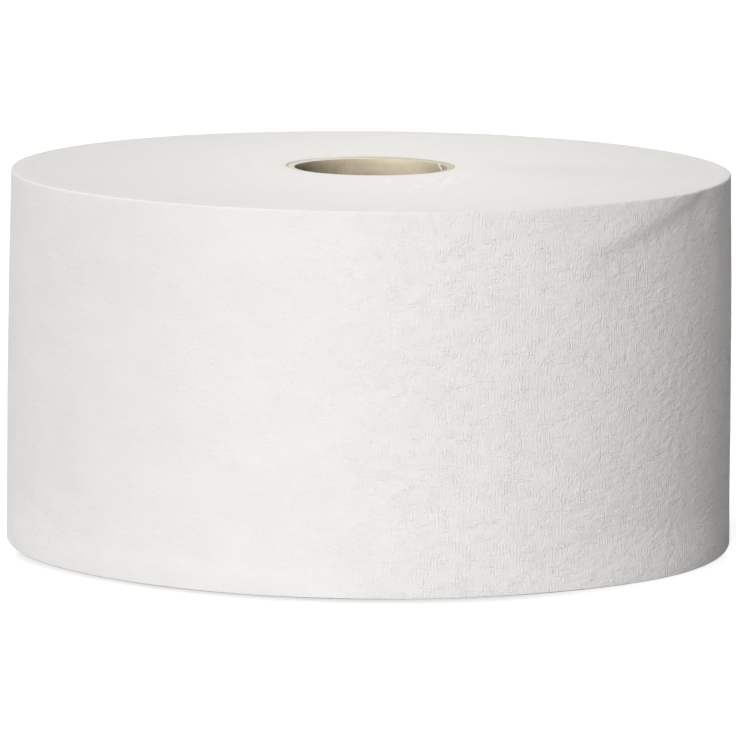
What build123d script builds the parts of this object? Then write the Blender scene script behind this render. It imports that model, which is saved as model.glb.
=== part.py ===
from build123d import *
import math
import os

# A toilet paper roll standing on one end, in millimetres, with +Z up along its core.
# The origin is the middle of the lower end.

# Driving dimensions of the wound tissue
roll_diameter = 188.0
sheet_width = 97.8
foot_spread = 1.0
rim_round = 0.8
rim_facets = 2
tail_step = 0.3

# The spiral of turns on both cut ends: bundles of turns with a fine step down between them
turn_bundles = 10
turn_step_width = 0.4
turn_step_depth = 0.45
turn_crest_drop = 0.05
core_land = 1.2
rim_land = 0.8

# The spiral wound board core
bore_diameter = 40.0
board_thickness = 2.0
core_recess = 0.3
ply_width = 75.0
ply_gap_width = 0.7
ply_gap_depth = 0.2
ply_gap_bearing = 26.0

# How far each cutting shape runs past what it cuts
overrun = 1.0

roll_radius = roll_diameter / 2
bore_radius = bore_diameter / 2
core_radius = bore_radius + board_thickness
first_turn_radius = core_radius + core_land
last_turn_radius = roll_radius - rim_round - rim_land
turn_pitch = (last_turn_radius - first_turn_radius) / (turn_bundles + 1)
UP = (0, 0, 1)
DOWN = (0, 0, -1)


def spiral_body(section_at, step):
    """A body that grows by step in each turn: two half turns about two centres on the Y axis.

    section_at(growth) gives the outline of a half turn, as (radius, height) points measured from
    its own centre. The right half is half a step larger, so the halves meet exactly on the -Y
    side, and lie one step apart on the +Y side, at the back.
    """
    halves = []
    for centre_y, growth, direction in ((-step / 4, 0, UP), (step / 4, step / 2, DOWN)):
        outline = Polyline(*[(0, centre_y + radius, z) for radius, z in section_at(growth)], close=True)
        halves.append(revolve(make_face(outline), Axis((0, centre_y, 0), direction), 180))
    return halves[0] + halves[1]


def rim_points(radius, height, outward):
    """The soft rim at the end of the side, as short chords of an arc. outward is -1 below and 1 above."""
    points = []
    for facet in range(rim_facets + 1):
        angle = math.pi / 2 * facet / rim_facets
        points.append(
            (
                radius - rim_round * (1 - math.cos(angle)),
                height - outward * rim_round * (1 - math.sin(angle)),
            )
        )
    return points


def skin_section(growth):
    """Half of the roll's upright section: plain cut ends, soft rims and a side that spreads at the foot."""
    lower_rim = rim_points(roll_radius + foot_spread + growth, 0, -1)
    upper_rim = rim_points(roll_radius + growth, sheet_width, 1)
    return [(bore_radius, 0), *reversed(lower_rim), *upper_rim, (bore_radius, sheet_width)]


def turns_section(growth):
    """Half of the upright section of the turns: a fine step falls to each bundle, whose edge then rises
    slowly outward. The first step and the last rise run on past the cut end, which the skin gives."""
    first = first_turn_radius + turn_pitch / 4 + growth
    last = first + turn_bundles * turn_pitch
    past_face = overrun + turn_crest_drop
    step_start = first - past_face * turn_step_width / turn_step_depth
    rise_end = last + past_face * (turn_pitch - turn_step_width) / turn_step_depth
    edge = [(bore_radius, -overrun), (step_start, -overrun)]
    for bundle in range(turn_bundles):
        inner = first + bundle * turn_pitch
        edge.append((inner + turn_step_width, turn_crest_drop + turn_step_depth))
        edge.append((inner + turn_pitch, turn_crest_drop))
    edge[-1] = (rise_end, -overrun)
    edge.append((roll_diameter, -overrun))
    return edge + [(radius, sheet_width - z) for radius, z in reversed(edge)]


def paper_winding():
    """The wound tissue: one body with its tail step at the back and the spiral of its turns on each end."""
    hole = Pos(0, 0, sheet_width / 2) * Cylinder(core_radius, sheet_width + 2 * overrun)
    return (spiral_body(skin_section, tail_step) & spiral_body(turns_section, turn_pitch)) - hole


def ply_gap():
    """The open joint of the inner ply: a shallow V that climbs the bore as a right-handed helix."""
    lean = math.acos(ply_width / (math.pi * bore_diameter))
    lead = math.pi * bore_diameter / math.tan(lean)
    path = Helix(lead, sheet_width + 2 * overrun, bore_radius)
    start = Plane(path @ 0, x_dir=(1, 0, 0), z_dir=path % 0)
    corners = [(ply_gap_depth, 0), (-ply_gap_depth, ply_gap_width), (-ply_gap_depth, -ply_gap_width)]
    groove = sweep(start * make_face(Polyline(*corners, close=True)), path, is_frenet=True)
    turned = ply_gap_bearing - 360 * (sheet_width + overrun) / lead
    return Pos(0, 0, -overrun) * Rot(0, 0, turned) * groove


def cardboard_core():
    """The board tube, a little shorter than the winding at each end, with its ply joint in the bore."""
    length = sheet_width - 2 * core_recess
    tube = Cylinder(core_radius, length) - Cylinder(bore_radius, length)
    return Pos(0, 0, sheet_width / 2) * tube - ply_gap()


def save(name, shape):
    """Writes one piece under its own name."""
    shape.label = name
    export_step(shape, os.path.join("parts", name + ".step"))


os.makedirs("parts", exist_ok=True)
save("paper_winding", paper_winding())
save("cardboard_core", cardboard_core())
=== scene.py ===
import math

import bmesh
import bpy
from mathutils import Matrix, Vector, noise


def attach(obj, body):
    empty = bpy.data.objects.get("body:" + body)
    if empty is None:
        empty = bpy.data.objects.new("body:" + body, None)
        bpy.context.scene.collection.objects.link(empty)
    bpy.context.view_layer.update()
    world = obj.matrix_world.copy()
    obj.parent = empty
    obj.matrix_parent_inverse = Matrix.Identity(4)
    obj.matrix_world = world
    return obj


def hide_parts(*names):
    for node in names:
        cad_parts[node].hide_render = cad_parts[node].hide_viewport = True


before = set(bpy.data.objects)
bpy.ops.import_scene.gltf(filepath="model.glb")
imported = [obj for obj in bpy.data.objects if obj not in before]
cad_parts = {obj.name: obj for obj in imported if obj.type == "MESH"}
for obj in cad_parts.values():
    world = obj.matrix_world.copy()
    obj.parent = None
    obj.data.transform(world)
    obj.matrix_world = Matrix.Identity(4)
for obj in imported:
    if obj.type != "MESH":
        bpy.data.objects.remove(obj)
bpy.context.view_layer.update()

MM = 0.001

# Sizes in millimetres, as in the part's source
HEIGHT = 97.8
ROLL_R = 94.0
FOOT_SPREAD = 1.0
TAIL_STEP = 0.3
HOLE_R = 22.0
BORE_R = 20.0
CORE_RECESS = 0.3
FIRST_TURN_R = 23.2
LAST_TURN_R = 92.4
TURN_PITCHES = 11
PLY_WIDTH = 75.0
PLY_BEARING = 26.0
PLY_LEAD = 2 * math.pi * BORE_R / math.tan(math.acos(PLY_WIDTH / (2 * math.pi * BORE_R)))

# What only soft tissue does: the rise of the upper end toward the core, with its start and its span,
# the waves of both cut ends, and how far the side lies inside its plain shape
UPPER_CROWN = 0.8
CROWN_START_R = 23.0
CROWN_SPAN = 69.0
END_WAVES = 0.05
SIDE_INSET = 0.06

# The rims between the cut ends and the side: their sizes, and the radius of the cut end before them
UPPER_RIM = 0.5
LOWER_RIM = 0.12
RIM_START_R = 93.0

# The loose tail: how far it lifts and over how many columns, and where the lift starts and ends
TAIL_LIFT = 0.16
TAIL_COLUMNS = 5
TAIL_FOOT = (4.0, 20.0)
TAIL_TOP = (80.0, 95.0)

# Lines on the side. Each has its own height, its start and end as (degrees, height), and its width.
CREASES = (
    (0.05, (72.0, 66.0), (48.0, 58.0), 2.4),
    (-0.05, (70.0, 48.0), (44.0, 43.0), 2.4),
    (-0.16, (-74.0, 18.0), (-61.0, 12.0), 1.5),
    (-0.12, (-52.0, 9.5), (-4.0, 6.6), 1.6),
    (0.10, (-56.0, 4.5), (-2.0, 3.2), 2.0),
)
# Folds are given like the lines, with how far they reach
FOLDS = (
    (0.62, (65.0, 96.8), (35.0, 83.0), 1.6, 7.5),
    (0.10, (76.0, 88.0), (50.0, 78.0), 1.5, 5.0),
)
# Where the lowest turns bulge: how far, the middle and width in degrees, and the heights where it fades
BULGES = (
    (0.50, -64.0, 15.0, 1.0, 13.0),
    (2.00, 55.0, 19.0, 0.0, 14.0),
)

# Mesh density of the winding: columns around, and rows per turn, down the side, at each rim and in the hole
COLUMNS = 360
TURN_ROWS = 3
SIDE_ROWS = 72
RIM_ROWS = 6
HOLE_HEIGHTS = (0.25, 24.0, 48.9, 73.0, 97.4)
SIDE_TOP, SIDE_FOOT = HEIGHT - 1.4, 0.7

# Where each row of a turn lies between two steps, and its share of the step's depth
ROW_PLACES = (0.0, 0.55, 0.93)
ROW_DEPTHS = (1.0, 0.3, 0.0)

# The open joint of the core's inner ply: its depth, its half width in degrees, the radius at which it has
# closed on the cut rims, and the columns near it
PLY_GAP_DEPTH = 0.2
PLY_GAP_HALF = 1.8
JOINT_END_R = 21.9
JOINT_HALF = 2.6
JOINT_COLUMNS = (-JOINT_HALF, -1.8, -1.1, -0.5, 0.0, 0.5, 1.1, 1.8, JOINT_HALF)
# Mesh density of the core: rows up, and spans around outside the joint
CORE_ROWS = 60
CORE_COLUMNS = 176
# The core's cut rim, from the bore out: the radius of each ring and how deep it lies
RIM_RIDGES = (
    (20.13, 0.02), (20.45, 0.0), (20.52, 0.05), (20.59, 0.0), (20.95, 0.02), (21.02, 0.07),
    (21.09, 0.01), (21.45, 0.0), (21.52, 0.05), (21.59, 0.02), (21.93, 0.0),
)

# The sheets that the materials are baked on, in millimetres: their sides, and where each chart lies
WINDING_SHEET = 420.0
SIDE_STRIPS = ((4.0, 2.0), (211.0, 2.0), (4.0, 103.0))
HOLE_CHART = (250.0, 103.0)
UPPER_DISC, LOWER_DISC = (98.0, 308.0), (300.0, 308.0)
CORE_SHEET = 280.0
BORE_CHART, OUTER_CHART = (8.0, 5.0), (8.0, 108.0)
UPPER_RING, LOWER_RING = (30.0, 240.0), (90.0, 240.0)

# Each far lamp's name, azimuth, elevation, softness and level
LAMPS = (
    ("front", -12, 14, 22, 0.757),
    ("front_right", 25, 14, 30, 0.06),
    ("high_back", -120, 70, 40, 0.10),
    ("high_front", 10, 70, 30, 0.18),
    ("back_left", -132, 25, 40, 0.50),
    ("back_right", 158, 15, 30, 0.15),
)


def smooth(value, low, high):
    """0 below low, 1 above high, with a soft step between."""
    t = min(1.0, max(0.0, (value - low) / (high - low)))
    return t * t * (3 - 2 * t)


def hill(value, middle, width):
    """A soft bump of height 1 at middle."""
    return math.exp(-(((value - middle) / width) ** 2))


def wave(x, y, z, size, seed=0.0):
    """Smooth fixed noise of about that feature size."""
    return noise.noise(Vector((x / size + seed, y / size - seed, z / size + 2 * seed)))


def bearing(column):
    """The angle of a column from +X, counterclockwise from the tail at the back."""
    return math.radians(90.0 + 360.0 * column / COLUMNS)


def facing(column):
    """The same angle in degrees from the front, positive to the right."""
    return (90.0 + 360.0 * column / COLUMNS + 90.0 + 180.0) % 360.0 - 180.0


def by_line(alpha, z, start, end):
    """Where a point of the side lies by a line on it: the share of the way along, and how far off in mm."""
    to_mm = math.radians(1.0) * ROLL_R
    run_x, run_z = (end[0] - start[0]) * to_mm, end[1] - start[1]
    px, pz = (alpha - start[0]) * to_mm, z - start[1]
    length = math.hypot(run_x, run_z)
    return (px * run_x + pz * run_z) / length ** 2, (px * run_z - pz * run_x) / length


def crease(alpha, z, start, end, width):
    """How near a point of the side is to the crease from start to end."""
    along, off = by_line(alpha, z, start, end)
    return smooth(along, -0.15, 0.15) * (1 - smooth(along, 0.75, 1.15)) * hill(off, 0.0, width)


def fold(alpha, z, start, end, width, reach):
    """A soft step across the line from start to end: out on the upper side of it and in on the lower."""
    along, off = by_line(alpha, z, start, end)
    inside = smooth(along, -0.15, 0.15) * (1 - smooth(along, 0.70, 1.15))
    return inside * math.tanh(off / width) * hill(off, 0.0, reach if off > 0 else 2.6 * reach)


def side_shift(column, z):
    """How far the side stands off its plain shape: soft waves, folds, creases, the foot and the tail."""
    a = bearing(column)
    x, y = ROLL_R * math.cos(a), ROLL_R * math.sin(a)
    alpha = facing(column)
    shift = 0.10 * wave(x, y, z * 1.6, 34.0, 1.7) + 0.045 * wave(x, y, z * 2.4, 11.0, 5.1)
    shift += 0.020 * wave(x, y, z * 5.0, 7.0, 9.3)
    for depth, *line in FOLDS:
        shift += depth * fold(alpha, z, *line)
    for depth, *line in CREASES:
        shift += depth * crease(alpha, z, *line)
    for depth, middle, width, full, gone in BULGES:
        shift += depth * hill(alpha, middle, width) * (1 - smooth(z, full, gone))
    lift = TAIL_LIFT + 0.05 * wave(0.0, 0.0, z, 14.0, 2.9)
    lift *= smooth(z, *TAIL_FOOT) * (1 - smooth(z, *TAIL_TOP))
    shift += lift * smooth(column, COLUMNS - TAIL_COLUMNS, COLUMNS)
    return shift - SIDE_INSET


def side_radius(column, z):
    """The side's radius: it spreads toward the foot and grows by the tail step in one turn."""
    t = min(1.0, max(0.0, (HEIGHT - z) / HEIGHT))
    spread = FOOT_SPREAD * (1 - (1 - t) ** 2)
    return ROLL_R + spread + TAIL_STEP * (column / COLUMNS - 0.25) + side_shift(column, z)


def end_dip(x, y, outward):
    """How far a cut end lies inside its outermost level: the upper end is crowned toward the core."""
    r = math.hypot(x, y)
    waves = END_WAVES * smooth(r, 24.0, 40.0)
    if outward < 0:
        return waves * (1 + wave(x, y, 0.0, 26.0, 8.3))
    dip = UPPER_CROWN * min(1.0, max(0.0, (r - CROWN_START_R) / CROWN_SPAN)) ** 1.1
    return dip + waves * (1 + wave(x, y, 0.0, 26.0, 3.3))


class Skin:
    """Collects the points and faces of one mesh, in millimetres."""

    def __init__(self):
        self.points = []
        self.faces = []
        self.kinds = []
        self.sharp = set()

    def point(self, angle, radius, z):
        self.points.append((radius * math.cos(angle), radius * math.sin(angle), z))
        return len(self.points) - 1

    def face(self, corners, kind):
        self.faces.append(corners)
        self.kinds.append(kind)

    def join(self, ring, following, kind):
        """Faces between two rings with the same number of points."""
        for c in range(len(ring) - 1):
            self.face([ring[c], ring[c + 1], following[c + 1], following[c]], kind)

    def build(self, name, materials, charts):
        """The finished piece. charts gives the place of each corner of a face on its baking sheet."""
        mesh = bpy.data.meshes.new(name)
        mesh.from_pydata([(x * MM, y * MM, z * MM) for x, y, z in self.points], [], self.faces)
        for material in materials:
            mesh.materials.append(material)
        for polygon, kind in zip(mesh.polygons, self.kinds):
            polygon.material_index = kind
            polygon.use_smooth = True
        layer = mesh.uv_layers.new(name="OFBake")
        for polygon in mesh.polygons:
            for loop, place in zip(polygon.loop_indices, charts(self, polygon)):
                layer.data[loop].uv = place
        work = bmesh.new()
        work.from_mesh(mesh)
        bmesh.ops.recalc_face_normals(work, faces=work.faces)
        work.to_mesh(mesh)
        work.free()
        for edge in mesh.edges:
            if tuple(sorted(edge.vertices)) in self.sharp:
                edge.use_edge_sharp = True
        obj = bpy.data.objects.new(name, mesh)
        bpy.context.scene.collection.objects.link(obj)
        return obj


def closed_ring(skin, radius_at, z_at):
    """A ring round the roll whose last point is its first."""
    ring = [skin.point(bearing(c), radius_at(c), z_at(c)) for c in range(COLUMNS)]
    return ring + [ring[0]]


def stepped_ring(skin, radius_at, z_at):
    """A ring round the roll that ends one tail step further out than it starts."""
    return [skin.point(bearing(c), radius_at(c), z_at(c)) for c in range(COLUMNS + 1)]


def turn_depth(turn, every):
    """The step between two bundles of turns: deeper at each one that the source has."""
    whole = int(turn)
    main = 1.0 if whole % every == 0 else 0.0
    after = 1.0 if (whole + 1) % every == 0 else 0.0
    part = smooth(turn - whole, 0.9, 1.0)
    strength = main * (1 - part) + after * part
    return 0.008 + 0.011 * strength + 0.005 * noise.noise(Vector((turn * 1.7, every, 4.2)))


def end_rings(skin, level, outward, pitch):
    """One cut end's spiral, from the first turn out. Its rows follow the turns, so a row's last column
    is the first column of the row one turn further out."""
    turns = round((LAST_TURN_R - FIRST_TURN_R) / pitch) - 1
    rows = turns * TURN_ROWS
    every = round((LAST_TURN_R - FIRST_TURN_R) / TURN_PITCHES / pitch)

    def make(row, column):
        whole, part = divmod(row, TURN_ROWS)
        turn = whole + column / COLUMNS
        radius = FIRST_TURN_R + pitch * (turn + ROW_PLACES[part])
        a = bearing(column)
        dip = end_dip(radius * math.cos(a), radius * math.sin(a), outward)
        fade = smooth(radius, FIRST_TURN_R, FIRST_TURN_R + 3) * (1 - smooth(radius, 91.0, 92.6))
        drop = dip + fade * ROW_DEPTHS[part] * turn_depth(turn, every)
        return skin.point(a, radius, level - outward * drop)

    rings = [[make(row, c) for c in range(COLUMNS)] for row in range(rows + 1)]
    for row in range(rows + 1):
        further = row + TURN_ROWS
        rings[row].append(rings[further][0] if further <= rows else make(row, COLUMNS))
    return rings


def join_end(skin, inner, rings, outer, kind):
    """Joins a cut end's spiral to the closed ring inside it and the ring outside it."""
    last = COLUMNS - 1
    first = rings[0]
    for c in range(last):
        skin.face([inner[c], inner[c + 1], first[c + 1], first[c]], kind)
    between = [rings[row][0] for row in range(TURN_ROWS + 1)]
    skin.face([inner[last], inner[0], *between, first[last]], kind)
    for row in range(len(rings) - 1):
        skin.join(rings[row], rings[row + 1], kind)
    edge = rings[-1]
    between = [rings[len(rings) - 1 - back][COLUMNS] for back in range(TURN_ROWS)]
    skin.face([edge[0], edge[1], outer[1], outer[0], outer[COLUMNS], *between], kind)
    for c in range(1, COLUMNS):
        skin.face([edge[c], edge[c + 1], outer[c + 1], outer[c]], kind)


def rim_rings(skin, level, outward, size):
    """The soft rim between a cut end and the side, from the end outward."""
    rings = []
    drop = size + 0.1 + (UPPER_CROWN if outward > 0 else 0.0)
    side_z = level - outward * drop
    for step in range(RIM_ROWS + 1):
        turn = math.pi / 2 * (1 - step / RIM_ROWS)
        inward = size * (1 - math.cos(turn))
        down = 1 - math.sin(turn)

        def radius_at(c, inward=inward):
            return side_radius(c, side_z) - inward

        def z_at(c, down=down):
            a = bearing(c % COLUMNS)
            start = end_dip(RIM_START_R * math.cos(a), RIM_START_R * math.sin(a), outward)
            return level - outward * (start * (1 - down) + drop * down)

        rings.append(stepped_ring(skin, radius_at, z_at))
    return rings


def winding_charts(skin, polygon):
    """Places on the winding's sheet: the side in three strips, each cut end as a disc, the hole's wall."""
    spots = [skin.points[v] for v in polygon.vertices]
    middle_z = sum(p[2] for p in spots) / len(spots)
    middle_x = sum(p[0] for p in spots) / len(spots)
    middle_y = sum(p[1] for p in spots) / len(spots)
    reach = math.hypot(middle_x, middle_y)
    if reach < HOLE_R + 0.6:
        turn = math.atan2(middle_y, middle_x)
        for x, y, z in spots:
            a = math.atan2(y, x)
            a += 2 * math.pi * round((turn - a) / (2 * math.pi))
            along = (a + math.pi) * HOLE_R
            yield (HOLE_CHART[0] + along) / WINDING_SHEET, (HOLE_CHART[1] + z) / WINDING_SHEET
        return
    if polygon.material_index == 1:
        disc = UPPER_DISC if middle_z > HEIGHT / 2 else LOWER_DISC
        for x, y, z in spots:
            yield (disc[0] + x) / WINDING_SHEET, (disc[1] + y) / WINDING_SHEET
        return
    turn = (math.atan2(middle_y, middle_x) - math.pi / 2) % (2 * math.pi)
    strip = min(2, int(turn / (2 * math.pi / 3)))
    for x, y, z in spots:
        a = (math.atan2(y, x) - math.pi / 2) % (2 * math.pi)
        a += 2 * math.pi * round((turn - a) / (2 * math.pi))
        along = (a - strip * 2 * math.pi / 3) * (ROLL_R + FOOT_SPREAD)
        left, low = SIDE_STRIPS[strip]
        yield (left + along) / WINDING_SHEET, (low + z) / WINDING_SHEET


def make_winding(materials):
    """The wound tissue as one closed skin: hole, upper end, side, lower end."""
    skin = Skin()
    side_kind, end_kind = 0, 1

    def level_top(c):
        a = bearing(c)
        return HEIGHT - end_dip(HOLE_R * math.cos(a), HOLE_R * math.sin(a), 1)

    wall = [closed_ring(skin, lambda c: HOLE_R, lambda c, z=z: z) for z in HOLE_HEIGHTS]
    for below, above in zip(wall, wall[1:]):
        skin.join(below, above, end_kind)
    upper_lip = closed_ring(skin, lambda c: HOLE_R + 0.04, lambda c: level_top(c) - 0.05)
    upper_start = closed_ring(skin, lambda c: HOLE_R + 0.5, level_top)
    skin.join(wall[-1], upper_lip, end_kind)
    skin.join(upper_lip, upper_start, end_kind)
    lower_start = closed_ring(skin, lambda c: HOLE_R + 0.25, lambda c: 0.0)
    skin.join(lower_start, wall[0], end_kind)

    pitch = (LAST_TURN_R - FIRST_TURN_R) / TURN_PITCHES
    upper = end_rings(skin, HEIGHT, 1, pitch / 3)
    upper_rim = rim_rings(skin, HEIGHT, 1, UPPER_RIM)
    join_end(skin, upper_start, upper, upper_rim[0], end_kind)

    side = []
    for row in range(1, SIDE_ROWS):
        z = SIDE_TOP + (SIDE_FOOT - SIDE_TOP) * row / SIDE_ROWS
        side.append(stepped_ring(skin, lambda c, z=z: side_radius(c, z), lambda c, z=z: z))
    lower_rim = rim_rings(skin, 0.0, -1, LOWER_RIM)
    lower = end_rings(skin, 0.0, -1, pitch / 2)
    join_end(skin, lower_start, lower, lower_rim[0], end_kind)

    stack = upper_rim + side + lower_rim[::-1]
    for above, below in zip(stack, stack[1:]):
        skin.join(above, below, side_kind)
        skin.face([above[COLUMNS], above[0], below[0], below[COLUMNS]], side_kind)
        for c in (0, COLUMNS):
            skin.sharp.add(tuple(sorted((above[c], below[c]))))
    return skin.build("tissue_winding", materials, winding_charts)


def core_charts(skin, polygon):
    """Places on the core's sheet: the bore's wall, the outer wall and the two cut rims."""
    spots = [skin.points[v] for v in polygon.vertices]
    middle = [sum(p[axis] for p in spots) / len(spots) for axis in range(3)]
    reach = math.hypot(middle[0], middle[1])
    if polygon.material_index == 1:
        ring = UPPER_RING if middle[2] > HEIGHT / 2 else LOWER_RING
        for x, y, z in spots:
            yield (ring[0] + x) / CORE_SHEET, (ring[1] + y) / CORE_SHEET
        return
    turn = math.atan2(middle[1], middle[0])
    chart = BORE_CHART if reach < (BORE_R + HOLE_R) / 2 else OUTER_CHART
    for x, y, z in spots:
        a = math.atan2(y, x)
        a += 2 * math.pi * round((turn - a) / (2 * math.pi))
        along = (a + math.pi) * (BORE_R + HOLE_R) / 2
        yield (chart[0] + along) / CORE_SHEET, (chart[1] + z) / CORE_SHEET


def make_core(materials):
    """The board tube: its rows follow the ply joint, which climbs the bore as a right-handed helix."""
    skin = Skin()
    top, bottom = HEIGHT - CORE_RECESS, CORE_RECESS
    turns = [PLY_BEARING + t for t in JOINT_COLUMNS]
    between = (360 - 2 * JOINT_HALF) / CORE_COLUMNS
    turns += [PLY_BEARING + JOINT_HALF + between * k for k in range(1, CORE_COLUMNS)]

    def gap(turn):
        """How deep the open joint is at an angle in degrees."""
        off = (turn - PLY_BEARING + 180) % 360 - 180
        return PLY_GAP_DEPTH * max(0.0, 1 - abs(off) / PLY_GAP_HALF)

    def ring(z, radius_at, lift=lambda t: 0.0):
        spin = 360.0 * (z - top) / PLY_LEAD
        made = [skin.point(math.radians(t + spin), radius_at(t), z + lift(t)) for t in turns]
        return made + [made[0]]

    def bore(t):
        a = math.radians(t)
        return BORE_R + gap(t) + 0.02 * wave(BORE_R * math.cos(a), BORE_R * math.sin(a), 0, 9.0, 2.2)

    def wall(radius_at, short):
        """The rings of one wall of the tube, which stays short of both cut rims by a little."""
        tall = top - bottom - 2 * short
        return [ring(top - short - tall * k / CORE_ROWS, radius_at) for k in range(CORE_ROWS + 1)]

    inside = wall(bore, 0.15)
    outside = wall(lambda t: HOLE_R, 0.05)
    for group in (inside, outside):
        for above, below in zip(group, group[1:]):
            skin.join(above, below, 0)
    ends = ((top, 1, inside[0], outside[0]), (bottom, -1, inside[-1], outside[-1]))
    for z, toward, inner, outer in ends:
        layers = []
        for radius, down in RIM_RIDGES:

            def radius_at(t, radius=radius):
                return radius + gap(t) * (JOINT_END_R - radius) / (JOINT_END_R - BORE_R)

            def lift(t, down=down, radius=radius, toward=toward):
                a = math.radians(t)
                rough = 0.02 + 0.02 * wave(radius * math.cos(a), radius * math.sin(a), 0, 1.3, 6.6)
                return -toward * (down + max(0.0, rough))

            layers.append(ring(z, radius_at, lift))
        chain = [inner, *layers, outer]
        for a, b in zip(chain, chain[1:]):
            skin.join(a, b, 1)
    return skin.build("board_core", materials, core_charts)


class Nodes:
    """Short calls for making a material's nodes."""

    def __init__(self, name):
        self.material = bpy.data.materials.new(name)
        self.material.use_nodes = True
        self.tree = self.material.node_tree
        self.tree.nodes.clear()
        self.out = self.add("ShaderNodeOutputMaterial")

    def add(self, kind, inputs=None, **settings):
        made = self.tree.nodes.new(kind)
        for key, value in settings.items():
            setattr(made, key, value)
        for key, value in (inputs or {}).items():
            if isinstance(value, bpy.types.NodeSocket):
                self.tree.links.new(value, made.inputs[key])
            else:
                made.inputs[key].default_value = value
        return made

    def math(self, operation, a, b=0.0):
        return self.add("ShaderNodeMath", {0: a, 1: b}, operation=operation).outputs[0]

    def times(self, a, b):
        return self.math("MULTIPLY", a, b)

    def plus(self, a, b):
        return self.math("ADD", a, b)

    def xyz(self):
        """The three object coordinates, in metres."""
        source = self.add("ShaderNodeTexCoord").outputs["Object"]
        parts = self.add("ShaderNodeSeparateXYZ", {0: source}).outputs
        return parts["X"], parts["Y"], parts["Z"]

    def polar(self, angle, reach, size, stretch):
        """Coordinates that follow the turns of a cut end: one unit is size in mm across the turns."""
        across = self.math("DIVIDE", reach, size)
        one = self.times(self.math("COSINE", angle), stretch)
        two = self.times(self.math("SINE", angle), stretch)
        return self.add("ShaderNodeCombineXYZ", {0: across, 1: one, 2: two}).outputs[0]

    def wrapped(self, angle):
        """The same angle between minus and plus half a turn."""
        return self.math("ARCTAN2", self.math("SINE", angle), self.math("COSINE", angle))

    def ramp(self, value, low, high, to_low=0.0, to_high=1.0):
        """A soft step of value, from to_low at low to to_high at high."""
        spans = {"Value": value, "From Min": low, "From Max": high, "To Min": to_low, "To Max": to_high}
        return self.add("ShaderNodeMapRange", spans, interpolation_type="SMOOTHSTEP").outputs["Result"]

    def place(self, sizes):
        """Object coordinates divided by feature sizes in millimetres."""
        source = self.add("ShaderNodeTexCoord").outputs["Object"]
        scale = tuple(1000.0 / s for s in sizes)
        return self.add("ShaderNodeMapping", {"Vector": source, "Scale": scale}).outputs["Vector"]

    def noise(self, place, detail=2.0, rough=0.5):
        inputs = {"Vector": place, "Scale": 1.0, "Detail": detail, "Roughness": rough}
        return self.add("ShaderNodeTexNoise", inputs).outputs["Fac"]

    def mix(self, factor, a, b):
        made = self.add("ShaderNodeMix", data_type="RGBA")
        for key, value in ((0, factor), (6, a), (7, b)):
            if isinstance(value, bpy.types.NodeSocket):
                self.tree.links.new(value, made.inputs[key])
            else:
                made.inputs[key].default_value = value
        return made.outputs[2]

    def finish(self, colour, height, depth_mm, roughness):
        """The material with its colour, and a fine relief of about that depth."""
        bump = self.add("ShaderNodeBump", {"Height": height, "Distance": depth_mm * MM, "Strength": 1.0})
        inputs = {"Base Color": colour, "Roughness": roughness, "Normal": bump.outputs["Normal"],
                  "Specular IOR Level": 0.15}
        shader = self.add("ShaderNodeBsdfPrincipled", inputs)
        self.tree.links.new(shader.outputs[0], self.out.inputs["Surface"])
        return self.material


def fibre_specks(n, cell, reach):
    """A few tiny spots, 1 at a spot and 0 elsewhere."""
    place = n.place((cell, cell, cell * 1.2))
    uneven = n.add("ShaderNodeTexNoise", {"Vector": n.place((0.6, 0.6, 0.6)), "Scale": 1.0, "Detail": 1.0})
    mixed = {0: reach * 0.9, 4: place, 5: uneven.outputs["Color"]}
    place = n.add("ShaderNodeMix", mixed, data_type="VECTOR").outputs[1]
    spots = n.add("ShaderNodeTexVoronoi", {"Vector": place, "Scale": 1.0}, voronoi_dimensions="3D")
    return n.ramp(spots.outputs["Distance"], reach * 0.3, reach, 1.0, 0.0)


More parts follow.
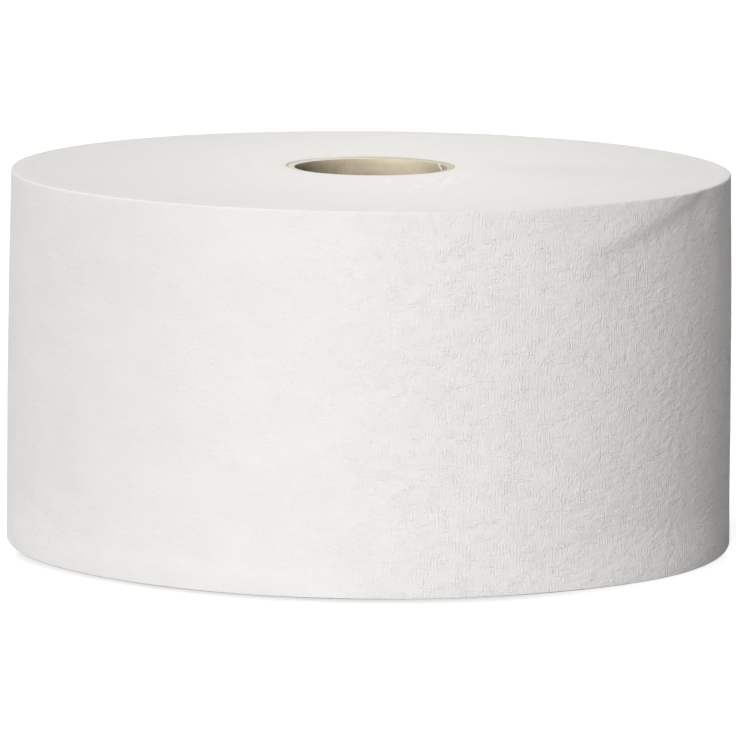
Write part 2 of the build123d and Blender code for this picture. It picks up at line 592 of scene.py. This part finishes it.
def tissue_side():
    """Creped tissue: fine upright ribs, short strokes across and small bits, stronger to the right, with
    painted light and shade on the crepe's ridges and valleys and a painted shadow line at the tail's edge.
    """
    n = Nodes("tissue_side")
    across, back = n.xyz()[:2]
    around = n.times(n.math("ARCTAN2", back, across), 663.0)
    drift = n.times(n.noise(n.place((3.0, 3.0, 2.0)), 1.0), 8.0)
    ribs = n.math("SINE", n.plus(around, drift))
    grouped = n.ramp(n.noise(n.place((2.8, 2.8, 2.2)), 1.0), 0.47, 0.60, 0.08, 1.0)
    streaks = n.noise(n.place((0.34, 0.34, 1.3)), 0.0)
    strokes = n.noise(n.place((1.7, 1.7, 0.29)), 0.0)
    dots = n.noise(n.place((0.36, 0.36, 0.42)), 0.0)
    creped = n.ramp(n.noise(n.place((4.2, 4.2, 2.6)), 1.5), 0.40, 0.64, 0.30, 1.0)
    crossed = n.ramp(n.noise(n.place((5.0, 5.0, 2.2)), 1.5), 0.46, 0.66, 0.10, 1.0)
    dotted = n.ramp(n.noise(n.place((3.6, 3.6, 3.0)), 1.0), 0.42, 0.66, 0.30, 1.0)
    lines = n.times(n.times(n.ramp(streaks, 0.38, 0.62, -0.5, 0.5), creped), 0.8)
    lines = n.plus(lines, n.times(n.times(ribs, grouped), 0.36))
    bars = n.times(n.ramp(strokes, 0.30, 0.70, -0.5, 0.5), crossed)
    bits = n.times(n.ramp(dots, 0.36, 0.64, -0.5, 0.5), dotted)
    height = n.plus(lines, n.times(bars, 1.1))
    height = n.plus(height, n.times(bits, 0.9))
    gain = n.ramp(across, -0.030, 0.022, 0.42, 1.36)
    gain = n.times(gain, n.ramp(across, 0.030, 0.060, 1.0, 0.86))
    height = n.times(height, gain)
    puckers = n.noise(n.place((3.4, 3.4, 1.4)), 1.5, 0.5)
    loose = n.plus(n.ramp(across, -0.060, 0.0, 1.3, 2.6), n.ramp(across, 0.030, 0.070, 0.0, 3.6))
    relief = n.plus(height, n.times(puckers, loose))
    cloud = n.noise(n.place((16.0, 16.0, 11.0)), 3.0, 0.55)
    tint = n.mix(n.ramp(cloud, 0.3, 0.7), (0.852, 0.834, 0.816, 1), (0.876, 0.858, 0.842, 1))
    # the crepe's ridges are painted lighter and its valleys painted darker: painted light and shade of the
    # relief, stronger to the right with it
    painted_crepe_light = n.math("MAXIMUM", n.times(height, 0.42), 0.0)
    painted_crepe_shade = n.math("MAXIMUM", n.times(height, -0.30), 0.0)
    tint = n.mix(painted_crepe_light, tint, (0.93, 0.925, 0.91, 1))
    tint = n.mix(painted_crepe_shade, tint, (0.78, 0.775, 0.755, 1))
    colour = n.mix(n.times(fibre_specks(n, 7.0, 0.055), 0.30), tint, (0.50, 0.48, 0.44, 1))
    # a painted shadow line under the loose tail's edge at the back
    tail = n.ramp(n.math("ABSOLUTE", across), 0.00012, 0.00042, 1.0, 0.0)
    tail = n.times(tail, n.ramp(back, 0.0, 0.01))
    colour = n.mix(n.times(tail, 0.55), colour, (0.50, 0.495, 0.475, 1))
    return n.finish(colour, relief, 0.058, 0.95)


def tissue_end():
    """The cut end: fine edges of the turns with painted shade between them, pale scuffs before the core, a
    painted shadow line at the hole's edge and a painted shade band right of the core.
    """
    n = Nodes("tissue_end")
    x, y = n.xyz()[:2]
    flat = n.plus(n.times(x, x), n.times(y, y))
    reach = n.times(n.math("SQRT", flat), 1000.0)
    angle = n.math("ARCTAN2", y, x)
    edges = n.noise(n.polar(angle, reach, 0.32, 3.0), 1.0)
    band = n.noise(n.polar(angle, reach, 4.5, 1.2), 2.0)
    fuzz = n.noise(n.place((0.7, 0.7, 0.7)), 2.0, 0.6)
    tint = n.mix(n.ramp(band, 0.3, 0.7), (0.872, 0.859, 0.834, 1), (0.886, 0.874, 0.851, 1))
    # the edges of the turns are painted darker: painted shade between the turns
    tint = n.mix(n.times(n.ramp(edges, 0.3, 0.7), 0.11), tint, (0.83, 0.82, 0.79, 1))
    near = n.times(n.ramp(reach, 25.0, 31.0), n.ramp(reach, 40.0, 72.0, 1.0, 0.0))
    front = n.times(n.ramp(n.math("SINE", angle), -0.6, -0.35, 1.0, 0.0), n.ramp(x, -0.010, 0.0))
    front = n.times(front, n.ramp(x, 0.020, 0.034, 1.0, 0.0))
    worn = {"Vector": n.place((2.0, 8.0, 5.0)), "Scale": 1.0, "Detail": 2.5, "Distortion": 0.6}
    scuff = n.ramp(n.add("ShaderNodeTexNoise", worn).outputs["Fac"], 0.45, 0.76)
    scuff = n.times(n.times(scuff, near), front)
    colour = n.mix(n.times(scuff, 0.60), tint, (0.96, 0.96, 0.955, 1))
    warm = n.ramp(reach, 22.2, 28.0, 0.5, 0.0)
    colour = n.mix(warm, colour, (0.87, 0.83, 0.73, 1))
    # a painted shadow line where the tissue meets the recessed core, weaker on the left where the light
    # comes from
    line = n.times(n.ramp(reach, 22.04, 22.2, 0.8, 0.0), n.ramp(x, -0.020, 0.004, 0.2, 1.0))
    colour = n.mix(line, colour, (0.42, 0.39, 0.32, 1))
    # a band to the right of the core painted darker: painted shade of a slight undulation
    beside = n.ramp(n.math("ABSOLUTE", n.plus(y, 0.004)), 0.0, 0.022, 1.0, 0.0)
    beside = n.times(beside, n.ramp(x, 0.024, 0.046))
    beside = n.times(beside, n.ramp(x, 0.050, 0.092, 1.0, 0.0))
    colour = n.mix(n.times(beside, 0.32), colour, (0.76, 0.755, 0.72, 1))
    height = n.plus(n.times(edges, 0.6), n.times(fuzz, 0.35))
    height = n.plus(height, n.times(scuff, 0.5))
    return n.finish(colour, height, 0.024, 0.95)


def board_bore():
    """The board's walls: painted pale where the light reaches in and painted dark on the bore's shaded
    side, with a painted lit edge and a painted shaded edge by the ply joint.
    """
    n = Nodes("board_bore")
    fibres = n.noise(n.place((0.5, 0.5, 1.8)), 3.0, 0.6)
    cloud = n.noise(n.place((7.0, 7.0, 5.0)), 3.0, 0.55)
    x, y, z = n.xyz()
    # the bore wall is painted pale toward the light and dark on its shaded side: painted light and shade
    # that follows the ply's helix
    depth = n.math("SUBTRACT", (HEIGHT - CORE_RECESS) * MM, z)
    climb = n.times(depth, 2 * math.pi / (PLY_LEAD * MM))
    around = n.plus(n.math("ARCTAN2", y, x), climb)
    aside = n.math("ABSOLUTE", n.wrapped(n.math("SUBTRACT", around, math.radians(70))))
    pale = n.math("SUBTRACT", 1.0, n.math("DIVIDE", aside, math.radians(102)))
    pale = n.plus(pale, n.ramp(cloud, 0.3, 0.7, -0.09, 0.09))
    tint = n.mix(n.math("MAXIMUM", pale, 0.0), (0.143, 0.110, 0.070, 1), (0.71, 0.618, 0.47, 1))
    off = n.wrapped(n.math("SUBTRACT", around, math.radians(PLY_BEARING)))
    off = n.times(off, 180 / math.pi)
    # a painted highlight on the joint's lit edge and a painted shadow on its shaded side
    lit = n.times(n.ramp(off, 0.2, 1.2), n.ramp(off, 2.6, 4.0, 1.0, 0.0))
    shaded = n.times(n.ramp(off, -4.2, -2.2), n.ramp(off, -0.8, 0.2, 1.0, 0.0))
    tint = n.mix(n.times(n.ramp(fibres, 0.4, 0.75), 0.22), tint, (0.70, 0.63, 0.50, 1))
    tint = n.mix(n.times(shaded, 0.85), tint, (0.30, 0.245, 0.17, 1))
    tint = n.mix(n.times(lit, 0.7), tint, (0.86, 0.80, 0.68, 1))
    colour = n.mix(n.times(fibre_specks(n, 3.1, 0.07), 0.25), tint, (0.36, 0.29, 0.20, 1))
    return n.finish(colour, fibres, 0.04, 0.85)


def board_rim():
    """The board's cut rims: rough and pale, a little darker to the right as painted shade."""
    n = Nodes("board_rim")
    fibres = n.noise(n.place((0.45, 0.45, 0.45)), 3.0, 0.65)
    x = n.xyz()[0]
    # darker to the right: painted shade away from the light on the left
    tint = n.mix(n.ramp(x, -0.020, 0.020), (0.80, 0.765, 0.69, 1), (0.56, 0.515, 0.42, 1))
    tint = n.mix(n.ramp(fibres, 0.3, 0.7, 0.0, 0.4), tint, (0.85, 0.80, 0.70, 1))
    colour = n.mix(n.times(fibre_specks(n, 2.5, 0.1), 0.5), tint, (0.42, 0.34, 0.24, 1))
    return n.finish(colour, fibres, 0.06, 0.9)


def make_floor():
    """A plain pale floor: white to the camera, and darker only by the roll, through its own shadow and a
    painted contact shadow in its glow, and inside its bore.
    """
    n = Nodes("floor")
    grain = n.noise(n.place((40.0, 40.0, 40.0)), 2.0)
    pale = n.mix(grain, (0.45, 0.45, 0.45, 1), (0.47, 0.47, 0.47, 1))
    surface = n.add("ShaderNodeBsdfDiffuse", {"Color": pale})
    path = n.add("ShaderNodeLightPath")
    seen = n.math("MAXIMUM", path.outputs["Is Camera Ray"], path.outputs["Is Glossy Ray"])
    seen = n.math("MAXIMUM", seen, path.outputs["Is Transmission Ray"])
    # the glow to the camera falls with ambient occlusion by the roll: a painted contact shadow, softer
    # toward the roll's sides and lifted again beside them
    close = n.add("ShaderNodeAmbientOcclusion", {"Distance": 0.013}, samples=8).outputs["AO"]
    place = n.add("ShaderNodeTexCoord").outputs["Object"]
    across = n.add("ShaderNodeSeparateXYZ", {0: place}).outputs["X"]
    close = n.math("POWER", close, n.ramp(across, 0.020, 0.080, 1.0, 0.32))
    white = n.plus(n.times(close, 1.15), -0.29)
    beside = n.ramp(n.math("ABSOLUTE", across), 0.085, 0.0945, 0.0, 0.80)
    reach = n.add("ShaderNodeVectorMath", {0: place}, operation="LENGTH").outputs["Value"]
    white = n.times(n.math("MAXIMUM", white, beside), n.ramp(reach, 0.0215, 0.03))
    glow = n.add("ShaderNodeEmission", {"Color": (1, 1, 1, 1), "Strength": n.times(seen, white)})
    both = n.add("ShaderNodeAddShader", {0: surface.outputs[0], 1: glow.outputs[0]})
    n.tree.links.new(both.outputs[0], n.out.inputs["Surface"])
    mesh = bpy.data.meshes.new("floor")
    work = bmesh.new()
    bmesh.ops.create_grid(work, x_segments=4, y_segments=4, size=6.0)
    work.to_mesh(mesh)
    work.free()
    mesh.materials.append(n.material)
    obj = bpy.data.objects.new("floor", mesh)
    bpy.context.scene.collection.objects.link(obj)
    return obj


def make_world():
    """A world that is white to the camera and gives no light."""
    world = bpy.data.worlds.new("studio")
    world.use_nodes = True
    tree = world.node_tree
    tree.nodes.clear()
    out = tree.nodes.new("ShaderNodeOutputWorld")
    back = tree.nodes.new("ShaderNodeBackground")
    path = tree.nodes.new("ShaderNodeLightPath")
    first = tree.nodes.new("ShaderNodeMath")
    second = tree.nodes.new("ShaderNodeMath")
    first.operation = second.operation = "MAXIMUM"
    tree.links.new(path.outputs["Is Camera Ray"], first.inputs[0])
    tree.links.new(path.outputs["Is Glossy Ray"], first.inputs[1])
    tree.links.new(first.outputs[0], second.inputs[0])
    tree.links.new(path.outputs["Is Transmission Ray"], second.inputs[1])
    tree.links.new(second.outputs[0], back.inputs["Strength"])
    tree.links.new(back.outputs[0], out.inputs["Surface"])
    bpy.context.scene.world = world


def make_lamp(name, azimuth, elevation, softness, level):
    """A soft distant lamp. Azimuth is from the front, positive to the right."""
    data = bpy.data.lights.new(name, "SUN")
    data.angle = math.radians(softness)
    data.energy = level * math.pi
    obj = bpy.data.objects.new(name, data)
    a, e = math.radians(azimuth), math.radians(elevation)
    toward = Vector((math.sin(a) * math.cos(e), -math.cos(a) * math.cos(e), math.sin(e)))
    obj.rotation_euler = toward.to_track_quat("Z", "Y").to_euler()
    bpy.context.scene.collection.objects.link(obj)


def make_softbox(name, place, width, length, level):
    """A near soft lamp over the roll, long from front to back. level is what it gives under its middle."""
    data = bpy.data.lights.new(name, "AREA")
    data.shape = "RECTANGLE"
    data.size = width
    data.size_y = length
    above = place[2] - HEIGHT * MM
    half = length / 2
    reached = half / (above ** 2 + half ** 2) + math.atan(half / above) / above
    data.energy = level * math.pi ** 2 * length / reached
    obj = bpy.data.objects.new(name, data)
    obj.location = place
    obj.visible_camera = False
    bpy.context.scene.collection.objects.link(obj)


def make_camera():
    """The camera at the photo's angle. It looks down a little and is tilted by half a degree."""
    data = bpy.data.cameras.new("camera")
    data.sensor_width = 36.0
    data.lens = 307.8
    data.shift_x = -0.0016
    data.shift_y = -0.0213
    data.clip_end = 50.0
    obj = bpy.data.objects.new("camera", data)
    up = math.radians(8.10)
    away = 1.652
    spot = Vector((0, -away * math.cos(up), 0.0485 + away * math.sin(up)))
    tilt = Matrix.Rotation(math.pi / 2 - up, 4, "X") @ Matrix.Rotation(math.radians(0.534), 4, "Z")
    obj.matrix_world = Matrix.Translation(spot) @ tilt
    bpy.context.scene.collection.objects.link(obj)
    bpy.context.scene.camera = obj


make_camera()
winding = make_winding([tissue_side(), tissue_end()])
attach(winding, "root")
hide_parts("paper_winding")
core = make_core([board_bore(), board_rim()])
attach(core, "root")
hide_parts("cardboard_core")

floor = make_floor()
make_world()
for lamp in LAMPS:
    make_lamp(*lamp)
make_softbox("overhead", (0.008, 0.0, 0.20), 0.04, 0.24, 0.228)
bpy.context.scene.view_settings.view_transform = "Standard"
